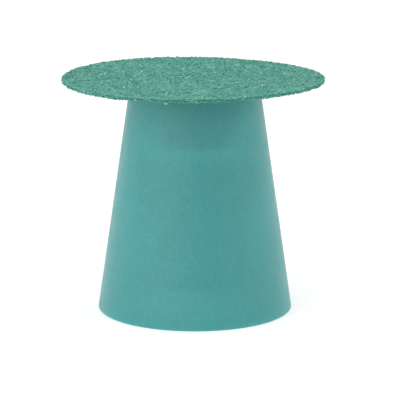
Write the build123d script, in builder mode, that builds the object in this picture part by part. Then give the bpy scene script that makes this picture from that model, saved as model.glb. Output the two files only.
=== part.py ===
from build123d import *
import os

# Push-on abrasive disc for a dental prophy angle.
#
# A moulded hub, wide end down, carries a thin disc of double-sided abrasive film on its narrow
# top end. The hub's open underside is a stepped socket that presses on to the drive spindle, and
# a tapered pocket cores out the solid plastic under the disc. Z is the axis of rotation, the
# hub's rim stands on z = 0, and lengths are in millimetres.

os.makedirs("parts", exist_ok=True)

# Overall sizes
disc_radius = 4.0
overall_height = 7.21

# Layers of the abrasive disc, from the working face down to the hub
grit_height = 0.035
resin_thickness = 0.020
film_thickness = 0.060
disc_thickness = film_thickness + 2 * (resin_thickness + grit_height)

# Each coat stops a little short of the film's punched edge
resin_radius = disc_radius - 0.01
grit_radius = disc_radius - 0.02

# Moulded hub, outside
hub_height = overall_height - disc_thickness
hub_base_radius = 2.985
hub_top_radius = 1.960
base_edge_round = 0.06
top_edge_round = 0.04

# Socket in the hub, from the mouth upwards: recess, throat, and the groove that grips the spindle
mouth_radius = 1.90
mouth_depth = 1.05
mouth_chamfer = 0.10
throat_radius = 1.25
throat_lead_in = 0.10
throat_top = 3.40
groove_radius = 1.42
groove_ramp = 0.12
socket_top = 4.45

# Coring pocket in the hub's top, closed by the disc, with a web of plastic left below it
pocket_top_radius = 1.20
pocket_floor_radius = 0.78
pocket_floor = 5.05

# Bond ring between the hub's top and the disc: the lower grit leaves this ring free
bond_outer_radius = hub_top_radius - top_edge_round
bond_inner_radius = pocket_top_radius + 0.03
bond_gap = 0.01

# Heights of the layers
back_grit_bottom = hub_height
back_resin_bottom = back_grit_bottom + grit_height
film_bottom = back_resin_bottom + resin_thickness
front_resin_bottom = film_bottom + film_thickness
front_grit_bottom = front_resin_bottom + resin_thickness

# Hub: a straight-sided cone with softened edges, cored out by the socket and the pocket
with BuildPart() as hub:
    with BuildSketch(Plane.XZ):
        with BuildLine():
            Polyline(
                (0, 0),
                (hub_base_radius, 0),
                (hub_top_radius, hub_height),
                (0, hub_height),
                close=True,
            )
        make_face()
    revolve(axis=Axis.Z)
    fillet(hub.edges().filter_by(GeomType.CIRCLE).sort_by(Axis.Z)[0], radius=base_edge_round)
    fillet(hub.edges().filter_by(GeomType.CIRCLE).sort_by(Axis.Z)[-1], radius=top_edge_round)

    with BuildSketch(Plane.XZ):
        with BuildLine():
            Polyline(
                (0, 0),
                (mouth_radius + mouth_chamfer, 0),
                (mouth_radius, mouth_chamfer),
                (mouth_radius, mouth_depth),
                (throat_radius + throat_lead_in, mouth_depth),
                (throat_radius, mouth_depth + throat_lead_in),
                (throat_radius, throat_top),
                (groove_radius, throat_top + groove_ramp),
                (groove_radius, socket_top),
                (0, socket_top),
                close=True,
            )
        make_face()
        with BuildLine():
            Polyline(
                (0, pocket_floor),
                (pocket_floor_radius, pocket_floor),
                (pocket_top_radius, hub_height),
                (0, hub_height),
                close=True,
            )
        make_face()
    revolve(axis=Axis.Z, mode=Mode.SUBTRACT)

hub.part.label = "hub"
export_step(hub.part, "parts/hub.step")

# Bond ring: adhesive on the flat land around the pocket
with BuildPart() as bond_ring:
    with BuildSketch(Plane.XY.offset(hub_height)):
        Circle(bond_outer_radius)
        Circle(bond_inner_radius, mode=Mode.SUBTRACT)
    extrude(amount=grit_height)

bond_ring.part.label = "bond_ring"
export_step(bond_ring.part, "parts/bond_ring.step")

# Backing film: the punched polyester disc that carries both coats
with BuildPart() as backing_film:
    with BuildSketch(Plane.XY.offset(film_bottom)):
        Circle(disc_radius)
    extrude(amount=film_thickness)

backing_film.part.label = "backing_film"
export_step(backing_film.part, "parts/backing_film.step")

# Resin coats: one on each side of the film, holding the grains
resin_bottoms = {"front_resin": front_resin_bottom, "back_resin": back_resin_bottom}
for name, bottom in resin_bottoms.items():
    with BuildPart() as resin_coat:
        with BuildSketch(Plane.XY.offset(bottom)):
            Circle(resin_radius)
        extrude(amount=resin_thickness)

    resin_coat.part.label = name
    export_step(resin_coat.part, f"parts/{name}.step")

# Front grit: the working face, as one layer as deep as the grains stand out of the resin
with BuildPart() as front_grit:
    with BuildSketch(Plane.XY.offset(front_grit_bottom)):
        Circle(grit_radius)
    extrude(amount=grit_height)

front_grit.part.label = "front_grit"
export_step(front_grit.part, "parts/front_grit.step")

# Back grit: the ring of grains on the underside, around the bond ring
with BuildPart() as back_grit:
    with BuildSketch(Plane.XY.offset(back_grit_bottom)):
        Circle(grit_radius)
        Circle(bond_outer_radius + bond_gap, mode=Mode.SUBTRACT)
    extrude(amount=grit_height)

back_grit.part.label = "back_grit"
export_step(back_grit.part, "parts/back_grit.step")

print(f"hub height {hub_height:.3f}, disc thickness {disc_thickness:.3f}")
print(f"throat wall from z {mouth_depth + throat_lead_in:.3f} to {throat_top:.3f}")
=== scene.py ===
import math
import random

import bmesh
import bpy
from mathutils import Matrix, Vector, noise


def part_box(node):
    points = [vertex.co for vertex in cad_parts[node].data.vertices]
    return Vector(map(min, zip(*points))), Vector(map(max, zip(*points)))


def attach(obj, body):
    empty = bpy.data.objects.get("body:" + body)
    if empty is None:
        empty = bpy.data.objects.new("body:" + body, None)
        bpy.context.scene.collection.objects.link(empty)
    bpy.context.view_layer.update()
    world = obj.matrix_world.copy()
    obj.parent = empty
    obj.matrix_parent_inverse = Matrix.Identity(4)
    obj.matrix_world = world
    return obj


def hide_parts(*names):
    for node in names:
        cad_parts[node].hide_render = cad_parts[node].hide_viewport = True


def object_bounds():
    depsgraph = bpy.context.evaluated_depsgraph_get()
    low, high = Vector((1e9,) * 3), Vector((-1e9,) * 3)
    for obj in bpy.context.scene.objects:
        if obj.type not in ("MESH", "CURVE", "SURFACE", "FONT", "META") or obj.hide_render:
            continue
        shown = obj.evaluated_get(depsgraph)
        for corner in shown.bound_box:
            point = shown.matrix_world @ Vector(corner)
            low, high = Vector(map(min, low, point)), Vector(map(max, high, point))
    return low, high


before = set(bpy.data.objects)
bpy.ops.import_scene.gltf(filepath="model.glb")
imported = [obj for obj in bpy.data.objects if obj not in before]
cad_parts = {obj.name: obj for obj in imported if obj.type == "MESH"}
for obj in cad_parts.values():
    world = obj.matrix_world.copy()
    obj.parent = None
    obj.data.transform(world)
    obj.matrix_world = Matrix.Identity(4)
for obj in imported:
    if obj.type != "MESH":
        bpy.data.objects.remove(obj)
cad_low, cad_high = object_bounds()

# The whole part spins as one body, so every piece rides on "root". Lengths are in metres.
MM = 0.001
BODY = "root"

# Turned shapes have this many sides, and a point nearer the axis than ON_AXIS lies on it
SEGMENTS = 256
ON_AXIS = 1e-7

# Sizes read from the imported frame
_, hub_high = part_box("hub")
film_low, film_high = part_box("backing_film")
bond_low, bond_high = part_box("bond_ring")
front_resin_low, front_resin_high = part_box("front_resin")
back_resin_low, back_resin_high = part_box("back_resin")
front_grit_low, front_grit_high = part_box("front_grit")
_, back_grit_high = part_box("back_grit")

PART_HEIGHT = cad_high.z
HUB_HEIGHT = hub_high.z
HUB_BASE_R = hub_high.x
DISC_R = film_high.x
RESIN_R = front_resin_high.x
GRIT_R = front_grit_high.x
BOND_R = bond_high.x

# The hub's other radii and levels, the same as in the CAD
HUB_TOP_R = 1.96 * MM
MOUTH_R = 1.90 * MM
MOUTH_DEPTH = 1.05 * MM
MOUTH_CHAMFER = 0.10 * MM
THROAT_R = 1.25 * MM
THROAT_LEAD_IN = 0.10 * MM
THROAT_TOP = 3.40 * MM
GROOVE_R = 1.42 * MM
GROOVE_RAMP = 0.12 * MM
SOCKET_TOP = 4.45 * MM
POCKET_TOP_R = 1.20 * MM
POCKET_FLOOR_R = 0.78 * MM
POCKET_FLOOR = 5.05 * MM
BOND_INNER_R = 1.23 * MM

# How the bonded disc really sits: a little off centre, and sprung into a slight saddle
DISC_SHIFT = -0.05 * MM
DISC_WARP = 0.048 * MM

# The grains hang over the punched edge by this much, so the film stops short of the full size
RIM_SET_BACK = 0.055 * MM

# How uneven each layer's faces are, and how far its edges are rounded
FILM_RIPPLE = 0
FILM_EDGE = 0.012 * MM
RESIN_RIPPLE = 0.005 * MM
RESIN_EDGE = 0.006 * MM

# Grains on the faces and the broken ones along the rim: how far apart they lie, their widths in
# millimetres, and how far they stand out, as a share of the grit layer's height. Each has one of
# a few shapes and tilts by up to so many radians. Some are missing, and those on the underside
# keep a gap from the bond ring.
GRAIN_PITCH = 0.086 * MM
GRAIN_WIDTHS = (0.075, 0.125)
GRAIN_STANDS = (0.55, 0.98)
RIM_GRAIN_PITCH = 0.050 * MM
RIM_GRAIN_WIDTHS = (0.06, 0.10)
RIM_GRAIN_STANDS = (-1.0, 0.6)
GRAIN_TILT = 0.5
GRAIN_SHAPES = 24
MISSING_SHARE = 0.05
BACK_GRIT_GAP = 0.05 * MM

# Grain tones run from 0, dark, to 1, pale. They drift in patches, and a few grains are pale.
TONE_PATCH = 0.28 * MM
TONE_DRIFT = 0.55
TONE_SPREAD = 0.12
DARKEST_TO_LIGHTEST = (0.0, 0.95)
PALE_TONES = (0.96, 1.0)
PALE_SHARE = 0.015

# One pale grain hangs from the rim: its place, its width in millimetres and how far it stands out
HANGING_GRAIN = (-0.77 * MM, -3.895 * MM, 0.14, 1.7)

# Noise textures keep mostly between these two values
NOISE_LOW = 0.3
NOISE_HIGH = 0.7


# ---------------------------------------------------------------- mesh helpers

def add_object(name, mesh, material, sharp_angle=None):
    """Puts a mesh in the scene, smooth across edges up to sharp_angle degrees, or all flat."""
    piece = bpy.data.objects.new(name, mesh)
    bpy.context.scene.collection.objects.link(piece)
    mesh.materials.append(material)
    if sharp_angle is not None:
        mesh.shade_smooth()
        mesh.set_sharp_from_angle(angle=math.radians(sharp_angle))
    return piece


def rounded(corners, steps=5):
    """A line through (radius, height, rounding) corners, with each corner turned into an arc."""
    line = []
    for i, (r, z, rounding) in enumerate(corners):
        here = Vector((r, z))
        if rounding == 0 or i in (0, len(corners) - 1):
            line.append(here)
            continue
        before = (Vector(corners[i - 1][:2]) - here).normalized()
        after = (Vector(corners[i + 1][:2]) - here).normalized()
        half_angle = before.angle(after) / 2
        reach = rounding / math.tan(half_angle)
        centre = here + (before + after).normalized() * rounding / math.sin(half_angle)
        start = here + before * reach - centre
        end = here + after * reach - centre
        turn = start.angle_signed(end)
        for k in range(steps + 1):
            spoke = start.copy()
            spoke.rotate(Matrix.Rotation(-turn * k / steps, 2))
            line.append(centre + spoke)
    return line


def divided(line, longest):
    """The same line with no stretch longer than the given length."""
    result = []
    for a, b in zip(line, line[1:]):
        pieces = max(1, math.ceil((b - a).length / longest))
        result += [a.lerp(b, k / pieces) for k in range(pieces)]
    return result + [line[-1]]


def lathe(name, line, closed=False):
    """Turns a line of (radius, height) points about Z. A point on the axis becomes one vertex."""
    mesh = bpy.data.meshes.new(name)
    bm = bmesh.new()
    angles = [2 * math.pi * i / SEGMENTS for i in range(SEGMENTS)]
    rings = []
    for radius, height in line:
        if radius < ON_AXIS:
            rings.append([bm.verts.new((0, 0, height))])
            continue
        ring = [(radius * math.cos(a), radius * math.sin(a), height) for a in angles]
        rings.append([bm.verts.new(place) for place in ring])
    pairs = list(zip(rings, rings[1:]))
    if closed:
        pairs.append((rings[-1], rings[0]))
    for low, high in pairs:
        for i in range(SEGMENTS):
            j = (i + 1) % SEGMENTS
            corners = ((low, i), (low, j), (high, j), (high, i))
            unique = list(dict.fromkeys(ring[k % len(ring)] for ring, k in corners))
            if len(unique) > 2:
                bm.faces.new(unique)
    bmesh.ops.recalc_face_normals(bm, faces=bm.faces)
    bm.to_mesh(mesh)
    bm.free()
    return mesh


def warp_height(x, y):
    """How far the sprung disc stands above or below its flat place."""
    return -DISC_WARP * x * y / DISC_R**2


def seat_disc(mesh):
    """Moves a flat layer of the disc to where the bonded, slightly warped disc really lies."""
    for vertex in mesh.vertices:
        vertex.co.z += warp_height(vertex.co.x, vertex.co.y)
        vertex.co.x += DISC_SHIFT
    mesh.update()


# ---------------------------------------------------------------- materials

def node_material(name, **values):
    """A material whose Principled shader has these plain values. Returns it with its nodes."""
    material = bpy.data.materials.new(name)
    material.use_nodes = True
    tree = material.node_tree
    shader = tree.nodes["Principled BSDF"]
    for socket, value in values.items():
        shader.inputs[socket.replace("_", " ")].default_value = value
    return material, tree, shader


def noise_value(tree, feature, detail=2.0, roughness=0.5):
    """Noise with features of about the given length."""
    place = tree.nodes.new("ShaderNodeTexCoord")
    texture = tree.nodes.new("ShaderNodeTexNoise")
    texture.inputs["Scale"].default_value = 1 / feature
    texture.inputs["Detail"].default_value = detail
    texture.inputs["Roughness"].default_value = roughness
    tree.links.new(place.outputs["Object"], texture.inputs["Vector"])
    return texture.outputs["Fac"]


def ramp(tree, value, stops):
    """Colours along a value, from (position, colour) stops."""
    node = tree.nodes.new("ShaderNodeValToRGB")
    elements = node.color_ramp.elements
    while len(elements) < len(stops):
        elements.new(0.5)
    for element, (position, colour) in zip(elements, stops):
        element.position = position
        element.color = (*colour, 1)
    tree.links.new(value, node.inputs["Fac"])
    return node.outputs["Color"]


def remap(tree, value, low, high):
    """Stretches noise so that its usual span runs from low to high."""
    node = tree.nodes.new("ShaderNodeMapRange")
    node.inputs["From Min"].default_value = NOISE_LOW
    node.inputs["From Max"].default_value = NOISE_HIGH
    node.inputs["To Min"].default_value = low
    node.inputs["To Max"].default_value = high
    tree.links.new(value, node.inputs["Value"])
    return node.outputs["Result"]


def bump(tree, shader, height, depth):
    """Feeds a height into the shader's normal, as deep as the given length."""
    node = tree.nodes.new("ShaderNodeBump")
    node.inputs["Distance"].default_value = depth
    tree.links.new(height, node.inputs["Height"])
    tree.links.new(node.outputs["Normal"], shader.inputs["Normal"])


def hub_plastic():
    """Tinted translucent moulding plastic with a finely eroded satin skin.

    It mixes a milky shader with a clear one, and their colours are kept close. Their colours
    are kept close, because the exported material carries only the average of the two.
    """
    material, tree, milky = node_material(
        "hub_plastic",
        Subsurface_Weight=1.0,
        Subsurface_Scale=MM,
        Subsurface_Radius=(0.4, 1.2, 1.2),
        Specular_IOR_Level=0.4,
    )
    pigment = noise_value(tree, 0.08 * MM, detail=3, roughness=0.6)
    stops = [(NOISE_LOW, (0.054, 0.371, 0.365)), (NOISE_HIGH, (0.094, 0.489, 0.481))]
    teal = ramp(tree, pigment, stops)
    tree.links.new(teal, milky.inputs["Base Color"])
    clear = tree.nodes.new("ShaderNodeBsdfPrincipled")
    clear.inputs["Base Color"].default_value = (0.08, 0.36, 0.355, 1)
    clear.inputs["Transmission Weight"].default_value = 1
    clear.inputs["IOR"].default_value = 1.5
    polish = remap(tree, noise_value(tree, 0.5 * MM), 0.35, 0.45)
    grain = noise_value(tree, 0.06 * MM, detail=4)
    for shader in (milky, clear):
        tree.links.new(polish, shader.inputs["Roughness"])
        bump(tree, shader, grain, 0.008 * MM)
    mix = tree.nodes.new("ShaderNodeMixShader")
    mix.inputs["Fac"].default_value = 0.45
    tree.links.new(milky.outputs["BSDF"], mix.inputs[1])
    tree.links.new(clear.outputs["BSDF"], mix.inputs[2])
    output = tree.nodes["Material Output"]
    tree.links.new(mix.outputs["Shader"], output.inputs["Surface"])
    tint = tree.nodes.new("ShaderNodeVolumeAbsorption")
    tint.inputs["Color"].default_value = (0.14, 0.80, 0.795, 1)
    tint.inputs["Density"].default_value = 0.15 / MM
    tree.links.new(tint.outputs["Volume"], output.inputs["Volume"])
    return material


def grit_mineral():
    """Angular mineral grains wetted with the pigmented resin, each with its own tone."""
    material, tree, shader = node_material(
        "grit_mineral",
        Coat_Weight=0.08,
        Coat_Roughness=0.4,
    )
    tone = tree.nodes.new("ShaderNodeAttribute")
    tone.attribute_name = "tone"
    stops = [
        (0.0, (0.040, 0.240, 0.182)),
        (0.5, (0.061, 0.300, 0.230)),
        (0.93, (0.100, 0.370, 0.292)),
        (1.0, (0.26, 0.52, 0.44)),
    ]
    tree.links.new(ramp(tree, tone.outputs["Fac"], stops), shader.inputs["Base Color"])
    glint = noise_value(tree, 0.06 * MM)
    tree.links.new(remap(tree, glint, 0.45, 0.70), shader.inputs["Roughness"])
    bump(tree, shader, noise_value(tree, 0.012 * MM, detail=3), 0.002 * MM)
    return material


def pigmented_resin():
    """Glossy green-teal resin that pools between the grains."""
    material, tree, shader = node_material("pigmented_resin", Coat_Weight=0.3, Coat_Roughness=0.15)
    pooling = noise_value(tree, 0.12 * MM, detail=3)
    colour = ramp(tree, pooling, [(0.35, (0.065, 0.33, 0.26)), (0.7, (0.095, 0.40, 0.325))])
    tree.links.new(colour, shader.inputs["Base Color"])
    tree.links.new(remap(tree, pooling, 0.28, 0.5), shader.inputs["Roughness"])
    bump(tree, shader, noise_value(tree, 0.04 * MM, detail=3), 0.005 * MM)
    return material


def polyester_film_with_painted_shade():
    """The tinted film, seen only as a fine punched edge, darkened with painted shade, with faint
    upright shear marks.
    """
    material, tree, shader = node_material(
        "polyester_film_with_painted_shade", Subsurface_Weight=0.3, Subsurface_Scale=0.1 * MM
    )
    shear = noise_value(tree, 0.03 * MM, detail=4)
    # Both colours are the film's tint darkened by painted shade, for the shadowed gap between the
    # two grit layers at the rim.
    colour = ramp(tree, shear, [(0.3, (0.03, 0.14, 0.11)), (0.7, (0.055, 0.22, 0.17))])
    tree.links.new(colour, shader.inputs["Base Color"])
    tree.links.new(remap(tree, shear, 0.35, 0.6), shader.inputs["Roughness"])
    bump(tree, shader, shear, 0.003 * MM)
    return material


def clear_adhesive():
    """Cured adhesive squeezed to the edge of the hub's top."""
    material, tree, shader = node_material("clear_adhesive", Transmission_Weight=0.5, IOR=1.48)
    flow = noise_value(tree, 0.1 * MM)
    colour = ramp(tree, flow, [(0.3, (0.10, 0.38, 0.33)), (0.7, (0.15, 0.45, 0.39))])
    tree.links.new(colour, shader.inputs["Base Color"])
    tree.links.new(remap(tree, flow, 0.15, 0.35), shader.inputs["Roughness"])
    return material


def studio_paper():
    """Plain pale floor, lit a little from below like a light table."""
    material, tree, shader = node_material(
        "studio_paper", Roughness=0.9, Emission_Color=(1, 1, 1, 1), Emission_Strength=0.52
    )
    fibre = noise_value(tree, 4 * MM, detail=4)
    colour = ramp(tree, fibre, [(0.3, (0.53, 0.53, 0.53)), (0.7, (0.55, 0.55, 0.55))])
    tree.links.new(colour, shader.inputs["Base Color"])
    return material


# ---------------------------------------------------------------- pieces

def make_hub(material):
    """The moulded hub: straight-sided cone outside, stepped socket below, coring pocket on top."""
    corner = 0.03 * MM
    # Rounding trims the foot, so it starts a little wider
    foot_allowance = 0.009 * MM
    longest_stretch = 0.25 * MM
    corners = [
        (0, POCKET_FLOOR, 0),
        (POCKET_FLOOR_R, POCKET_FLOOR, 2 * corner),
        (POCKET_TOP_R, HUB_HEIGHT, corner),
        (HUB_TOP_R, HUB_HEIGHT, corner),
        (HUB_BASE_R + foot_allowance, 0, 2 * corner),
        (MOUTH_R + MOUTH_CHAMFER, 0, corner),
        (MOUTH_R, MOUTH_CHAMFER, corner),
        (MOUTH_R, MOUTH_DEPTH, 2 * corner),
        (THROAT_R + THROAT_LEAD_IN, MOUTH_DEPTH, corner),
        (THROAT_R, MOUTH_DEPTH + THROAT_LEAD_IN, corner),
        (THROAT_R, THROAT_TOP, corner),
        (GROOVE_R, THROAT_TOP + GROOVE_RAMP, corner),
        (GROOVE_R, SOCKET_TOP, 3 * corner),
        (0, SOCKET_TOP, 0),
    ]
    mesh = lathe("hub_shell", divided(rounded(corners), longest_stretch))
    piece = add_object("hub_shell", mesh, material, sharp_angle=35)
    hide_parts("hub")
    return piece


def make_bond_ring(material):
    """Adhesive between the hub's flat top and the disc, bulging a little at both its edges."""
    bulge = 0.012 * MM
    unevenness = 0.006
    lump = 0.35 * MM
    middle = (bond_low.z + bond_high.z) / 2
    outline = [
        (BOND_INNER_R, bond_low.z),
        (BOND_R, bond_low.z),
        (BOND_R + bulge, middle),
        (BOND_R, bond_high.z),
        (BOND_INNER_R, bond_high.z),
        (BOND_INNER_R - bulge, middle),
    ]
    mesh = lathe("bond_bead", [Vector(p) for p in outline], closed=True)
    for vertex in mesh.vertices:
        top_share = (vertex.co.z - bond_low.z) / (bond_high.z - bond_low.z)
        vertex.co.z += top_share * warp_height(vertex.co.x, vertex.co.y)
        swell = 1 + unevenness * noise.noise(vertex.co / lump)
        vertex.co.x *= swell
        vertex.co.y *= swell
    piece = add_object("bond_bead", mesh, material, sharp_angle=60)
    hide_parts("bond_ring")
    return piece


def make_layer(name, node, low, high, radius, roughness, material, edge_round, seed):
    """One thin layer of the disc, with an uneven surface and a slightly ragged rim."""
    longest_stretch = 0.12 * MM
    ripple_length = 0.13 * MM
    rag_length = 0.2 * MM
    rag_share = 0.3
    # So high a power of the radius keeps the raggedness to the rim
    rim_only = 40
    corners = [
        (0, low, 0),
        (radius, low, edge_round),
        (radius, high, edge_round),
        (0, high, 0),
    ]
    mesh = lathe(name, divided(rounded(corners, steps=3), longest_stretch))
    drift = Vector((seed * 7.1, seed * 3.7, 0))
    middle = (low + high) / 2
    for vertex in mesh.vertices:
        ripple = noise.noise(Vector((vertex.co.x, vertex.co.y, 0)) / ripple_length + drift)
        side = 1 if vertex.co.z > middle else -1
        vertex.co.z += side * roughness * ripple
        reach = math.hypot(vertex.co.x, vertex.co.y) / radius
        rag = noise.noise(vertex.co / rag_length + drift)
        ragged = 1 + reach**rim_only * rag_share * roughness / MM * rag
        vertex.co.x *= ragged
        vertex.co.y *= ragged
    seat_disc(mesh)
    piece = add_object(name, mesh, material, sharp_angle=50)
    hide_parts(node)
    return piece


def grain_shapes(rng, count):
    """A few angular crystals about one unit across, each the hull of scattered points."""
    points_each = 9
    flatness = 0.65
    radii = (0.42, 0.56)
    shapes = []
    for _ in range(count):
        bm = bmesh.new()
        for _ in range(points_each):
            direction = Vector((rng.gauss(0, 1), rng.gauss(0, 1), rng.gauss(0, 1))).normalized()
            direction.z *= flatness
            bm.verts.new(direction * rng.uniform(*radii))
        hull = bmesh.ops.convex_hull(bm, input=bm.verts)
        inside = [v for v in hull["geom_interior"] if isinstance(v, bmesh.types.BMVert)]
        bmesh.ops.delete(bm, geom=inside, context="VERTS")
        bm.verts.ensure_lookup_table()
        bm.verts.index_update()
        points = [v.co.copy() for v in bm.verts]
        faces = [[v.index for v in f.verts] for f in bm.faces]
        shapes.append((points, faces))
        bm.free()
    return shapes


def scattered_places(rng, inner, outer, pitch):
    """Places on a jittered honeycomb between two radii."""
    jitter = 0.36
    places = []
    row_height = pitch * math.sqrt(3) / 2
    rows = math.ceil(outer / row_height)
    columns = math.ceil(outer / pitch) + 1
    for row in range(-rows, rows + 1):
        for column in range(-columns, columns + 1):
            x = (column + (row % 2) / 2 + rng.uniform(-jitter, jitter)) * pitch
            y = (row + rng.uniform(-jitter, jitter)) * row_height
            if inner < math.hypot(x, y) < outer:
                places.append((x, y))
    return places


def rim_places(rng, pitch):
    """Places for the broken grains that cling to the punched edge."""
    jitter = 0.3
    set_backs = (0.026, 0.050)
    count = round(2 * math.pi * DISC_R / pitch)
    places = []
    for i in range(count):
        angle = 2 * math.pi * (i + rng.uniform(-jitter, jitter)) / count
        radius = DISC_R - rng.uniform(*set_backs) * MM
        places.append((radius * math.cos(angle), radius * math.sin(angle)))
    return places


def grains_of_one_side(rng, inner, outer):
    """Each grain's place, width in millimetres and how far it stands out, rim grains last."""
    grains = [
        (x, y, rng.uniform(*GRAIN_WIDTHS), rng.uniform(*GRAIN_STANDS))
        for x, y in scattered_places(rng, inner, outer - RIM_SET_BACK, GRAIN_PITCH)
    ]
    grains += [
        (x, y, rng.uniform(*RIM_GRAIN_WIDTHS), rng.uniform(*RIM_GRAIN_STANDS))
        for x, y in rim_places(rng, RIM_GRAIN_PITCH)
    ]
    return grains


def make_grit(name, node, root_height, side, inner, outer, material, seed):
    """Thousands of separate grains standing out of one resin coat, up if side is 1, down if -1."""
    rng = random.Random(seed)
    shapes = grain_shapes(rng, GRAIN_SHAPES)
    reach = front_grit_high.z - front_grit_low.z
    darkest, lightest = DARKEST_TO_LIGHTEST
    grains = grains_of_one_side(rng, inner, outer)
    if side < 0:
        grains.append(HANGING_GRAIN)
    vertices = []
    faces = []
    tones = []
    for grain in grains:
        x, y, width, standing = grain
        if rng.random() < MISSING_SHARE:
            continue
        points, triangles = rng.choice(shapes)
        size = width * MM
        spin = Matrix.Rotation(rng.uniform(0, 2 * math.pi), 3, "Z")
        tilt = Matrix.Rotation(rng.uniform(-GRAIN_TILT, GRAIN_TILT), 3, "X")
        turn = spin @ tilt
        placed = [turn @ p * size for p in points]
        top = max(p.z for p in placed)
        stand = reach * standing
        centre_height = root_height + side * (stand - top) + warp_height(x, y)
        first = len(vertices)
        vertices += [(x + DISC_SHIFT + p.x, y + p.y, centre_height + side * p.z) for p in placed]
        order = slice(None) if side > 0 else slice(None, None, -1)
        faces += [[first + i for i in face[order]] for face in triangles]
        patch = noise.noise(Vector((x, y, side * MM)) / TONE_PATCH)
        tone = min(lightest, max(darkest, rng.gauss(0.5 + TONE_DRIFT * patch, TONE_SPREAD)))
        if grain is HANGING_GRAIN or rng.random() < PALE_SHARE:
            tone = rng.uniform(*PALE_TONES)
        tones += [tone] * len(placed)
    mesh = bpy.data.meshes.new(name)
    mesh.from_pydata(vertices, [], faces)
    mesh.attributes.new("tone", "FLOAT", "POINT").data.foreach_set("value", tones)
    mesh.update()
    piece = add_object(name, mesh, material)
    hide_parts(node)
    return piece


plastic = hub_plastic()
mineral = grit_mineral()
resin = pigmented_resin()
film = polyester_film_with_painted_shade()
adhesive = clear_adhesive()

pieces = [
    make_hub(plastic),
    make_bond_ring(adhesive),
    make_layer(
        "film_disc", "backing_film",
        film_low.z, film_high.z, DISC_R - RIM_SET_BACK,
        FILM_RIPPLE, film, FILM_EDGE, 1,
    ),
    make_layer(
        "front_resin_coat", "front_resin",
        front_resin_low.z, front_resin_high.z, RESIN_R - RIM_SET_BACK,
        RESIN_RIPPLE, resin, RESIN_EDGE, 2,
    ),
    make_layer(
        "back_resin_coat", "back_resin",
        back_resin_low.z, back_resin_high.z, RESIN_R - RIM_SET_BACK,
        RESIN_RIPPLE, resin, RESIN_EDGE, 3,
    ),
    make_grit("front_grains", "front_grit", front_grit_low.z, 1, 0, GRIT_R, mineral, 11),
    make_grit(
        "back_grains", "back_grit",
        back_grit_high.z, -1, BOND_R + BACK_GRIT_GAP, GRIT_R, mineral, 12,
    ),
]
for piece in pieces:
    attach(piece, BODY)


# ---------------------------------------------------------------- floor, light and camera

def make_floor():
    """A wide pale floor, just under the hub's rim."""
    half = 400 * MM
    level = -0.002 * MM
    corners = [(x * half, y * half, level) for x, y in ((-1, -1), (1, -1), (1, 1), (-1, 1))]
    mesh = bpy.data.meshes.new("floor")
    mesh.from_pydata(corners, [], [(0, 1, 2, 3)])
    floor = add_object("floor", mesh, studio_paper())


def softbox(name, place, size, power):
    """A square softbox aimed at the middle of the part."""
    lamp = bpy.data.lights.new(name, "AREA")
    lamp.shape = "SQUARE"
    lamp.size = size
    lamp.energy = power
    box = bpy.data.objects.new(name, lamp)
    bpy.context.scene.collection.objects.link(box)
    box.location = place
    aim = Vector((0, 0, PART_HEIGHT / 2)) - Vector(place)
    box.rotation_euler = aim.to_track_quat("-Z", "Y").to_euler()


def make_camera():
    """A long lens, a little above the disc, with the part filling the middle of the frame."""
    elevation = math.radians(12.17)
    distance = 69.8 * MM
    focal_length_in_frames = 5.695
    shift_right = 0.0127
    shift_up = -0.0198
    camera = bpy.data.cameras.new("camera")
    camera.sensor_width = 36
    camera.lens = focal_length_in_frames * camera.sensor_width
    camera.shift_x = shift_right
    camera.shift_y = shift_up
    camera.clip_start = MM
    camera.clip_end = 10
    holder = bpy.data.objects.new("camera", camera)
    bpy.context.scene.collection.objects.link(holder)
    back = Vector((0, -math.cos(elevation), math.sin(elevation)))
    holder.location = Vector((0, 0, PART_HEIGHT / 2)) + back * distance
    holder.rotation_euler = (-back).to_track_quat("-Z", "Y").to_euler()
    bpy.context.scene.camera = holder


make_floor()
softbox("key_left", (-65 * MM, -65 * MM, 40 * MM), 110 * MM, 0.04)
softbox("fill_right", (90 * MM, -20 * MM, 40 * MM), 110 * MM, 0.008)
softbox("top", (0, -50 * MM, 120 * MM), 80 * MM, 0.01)

world = bpy.data.worlds.new("studio")
world.use_nodes = True
world.node_tree.nodes["Background"].inputs["Color"].default_value = (1, 1, 1, 1)
world.node_tree.nodes["Background"].inputs["Strength"].default_value = 1.0
bpy.context.scene.world = world
bpy.context.scene.view_settings.view_transform = "Standard"
make_camera()
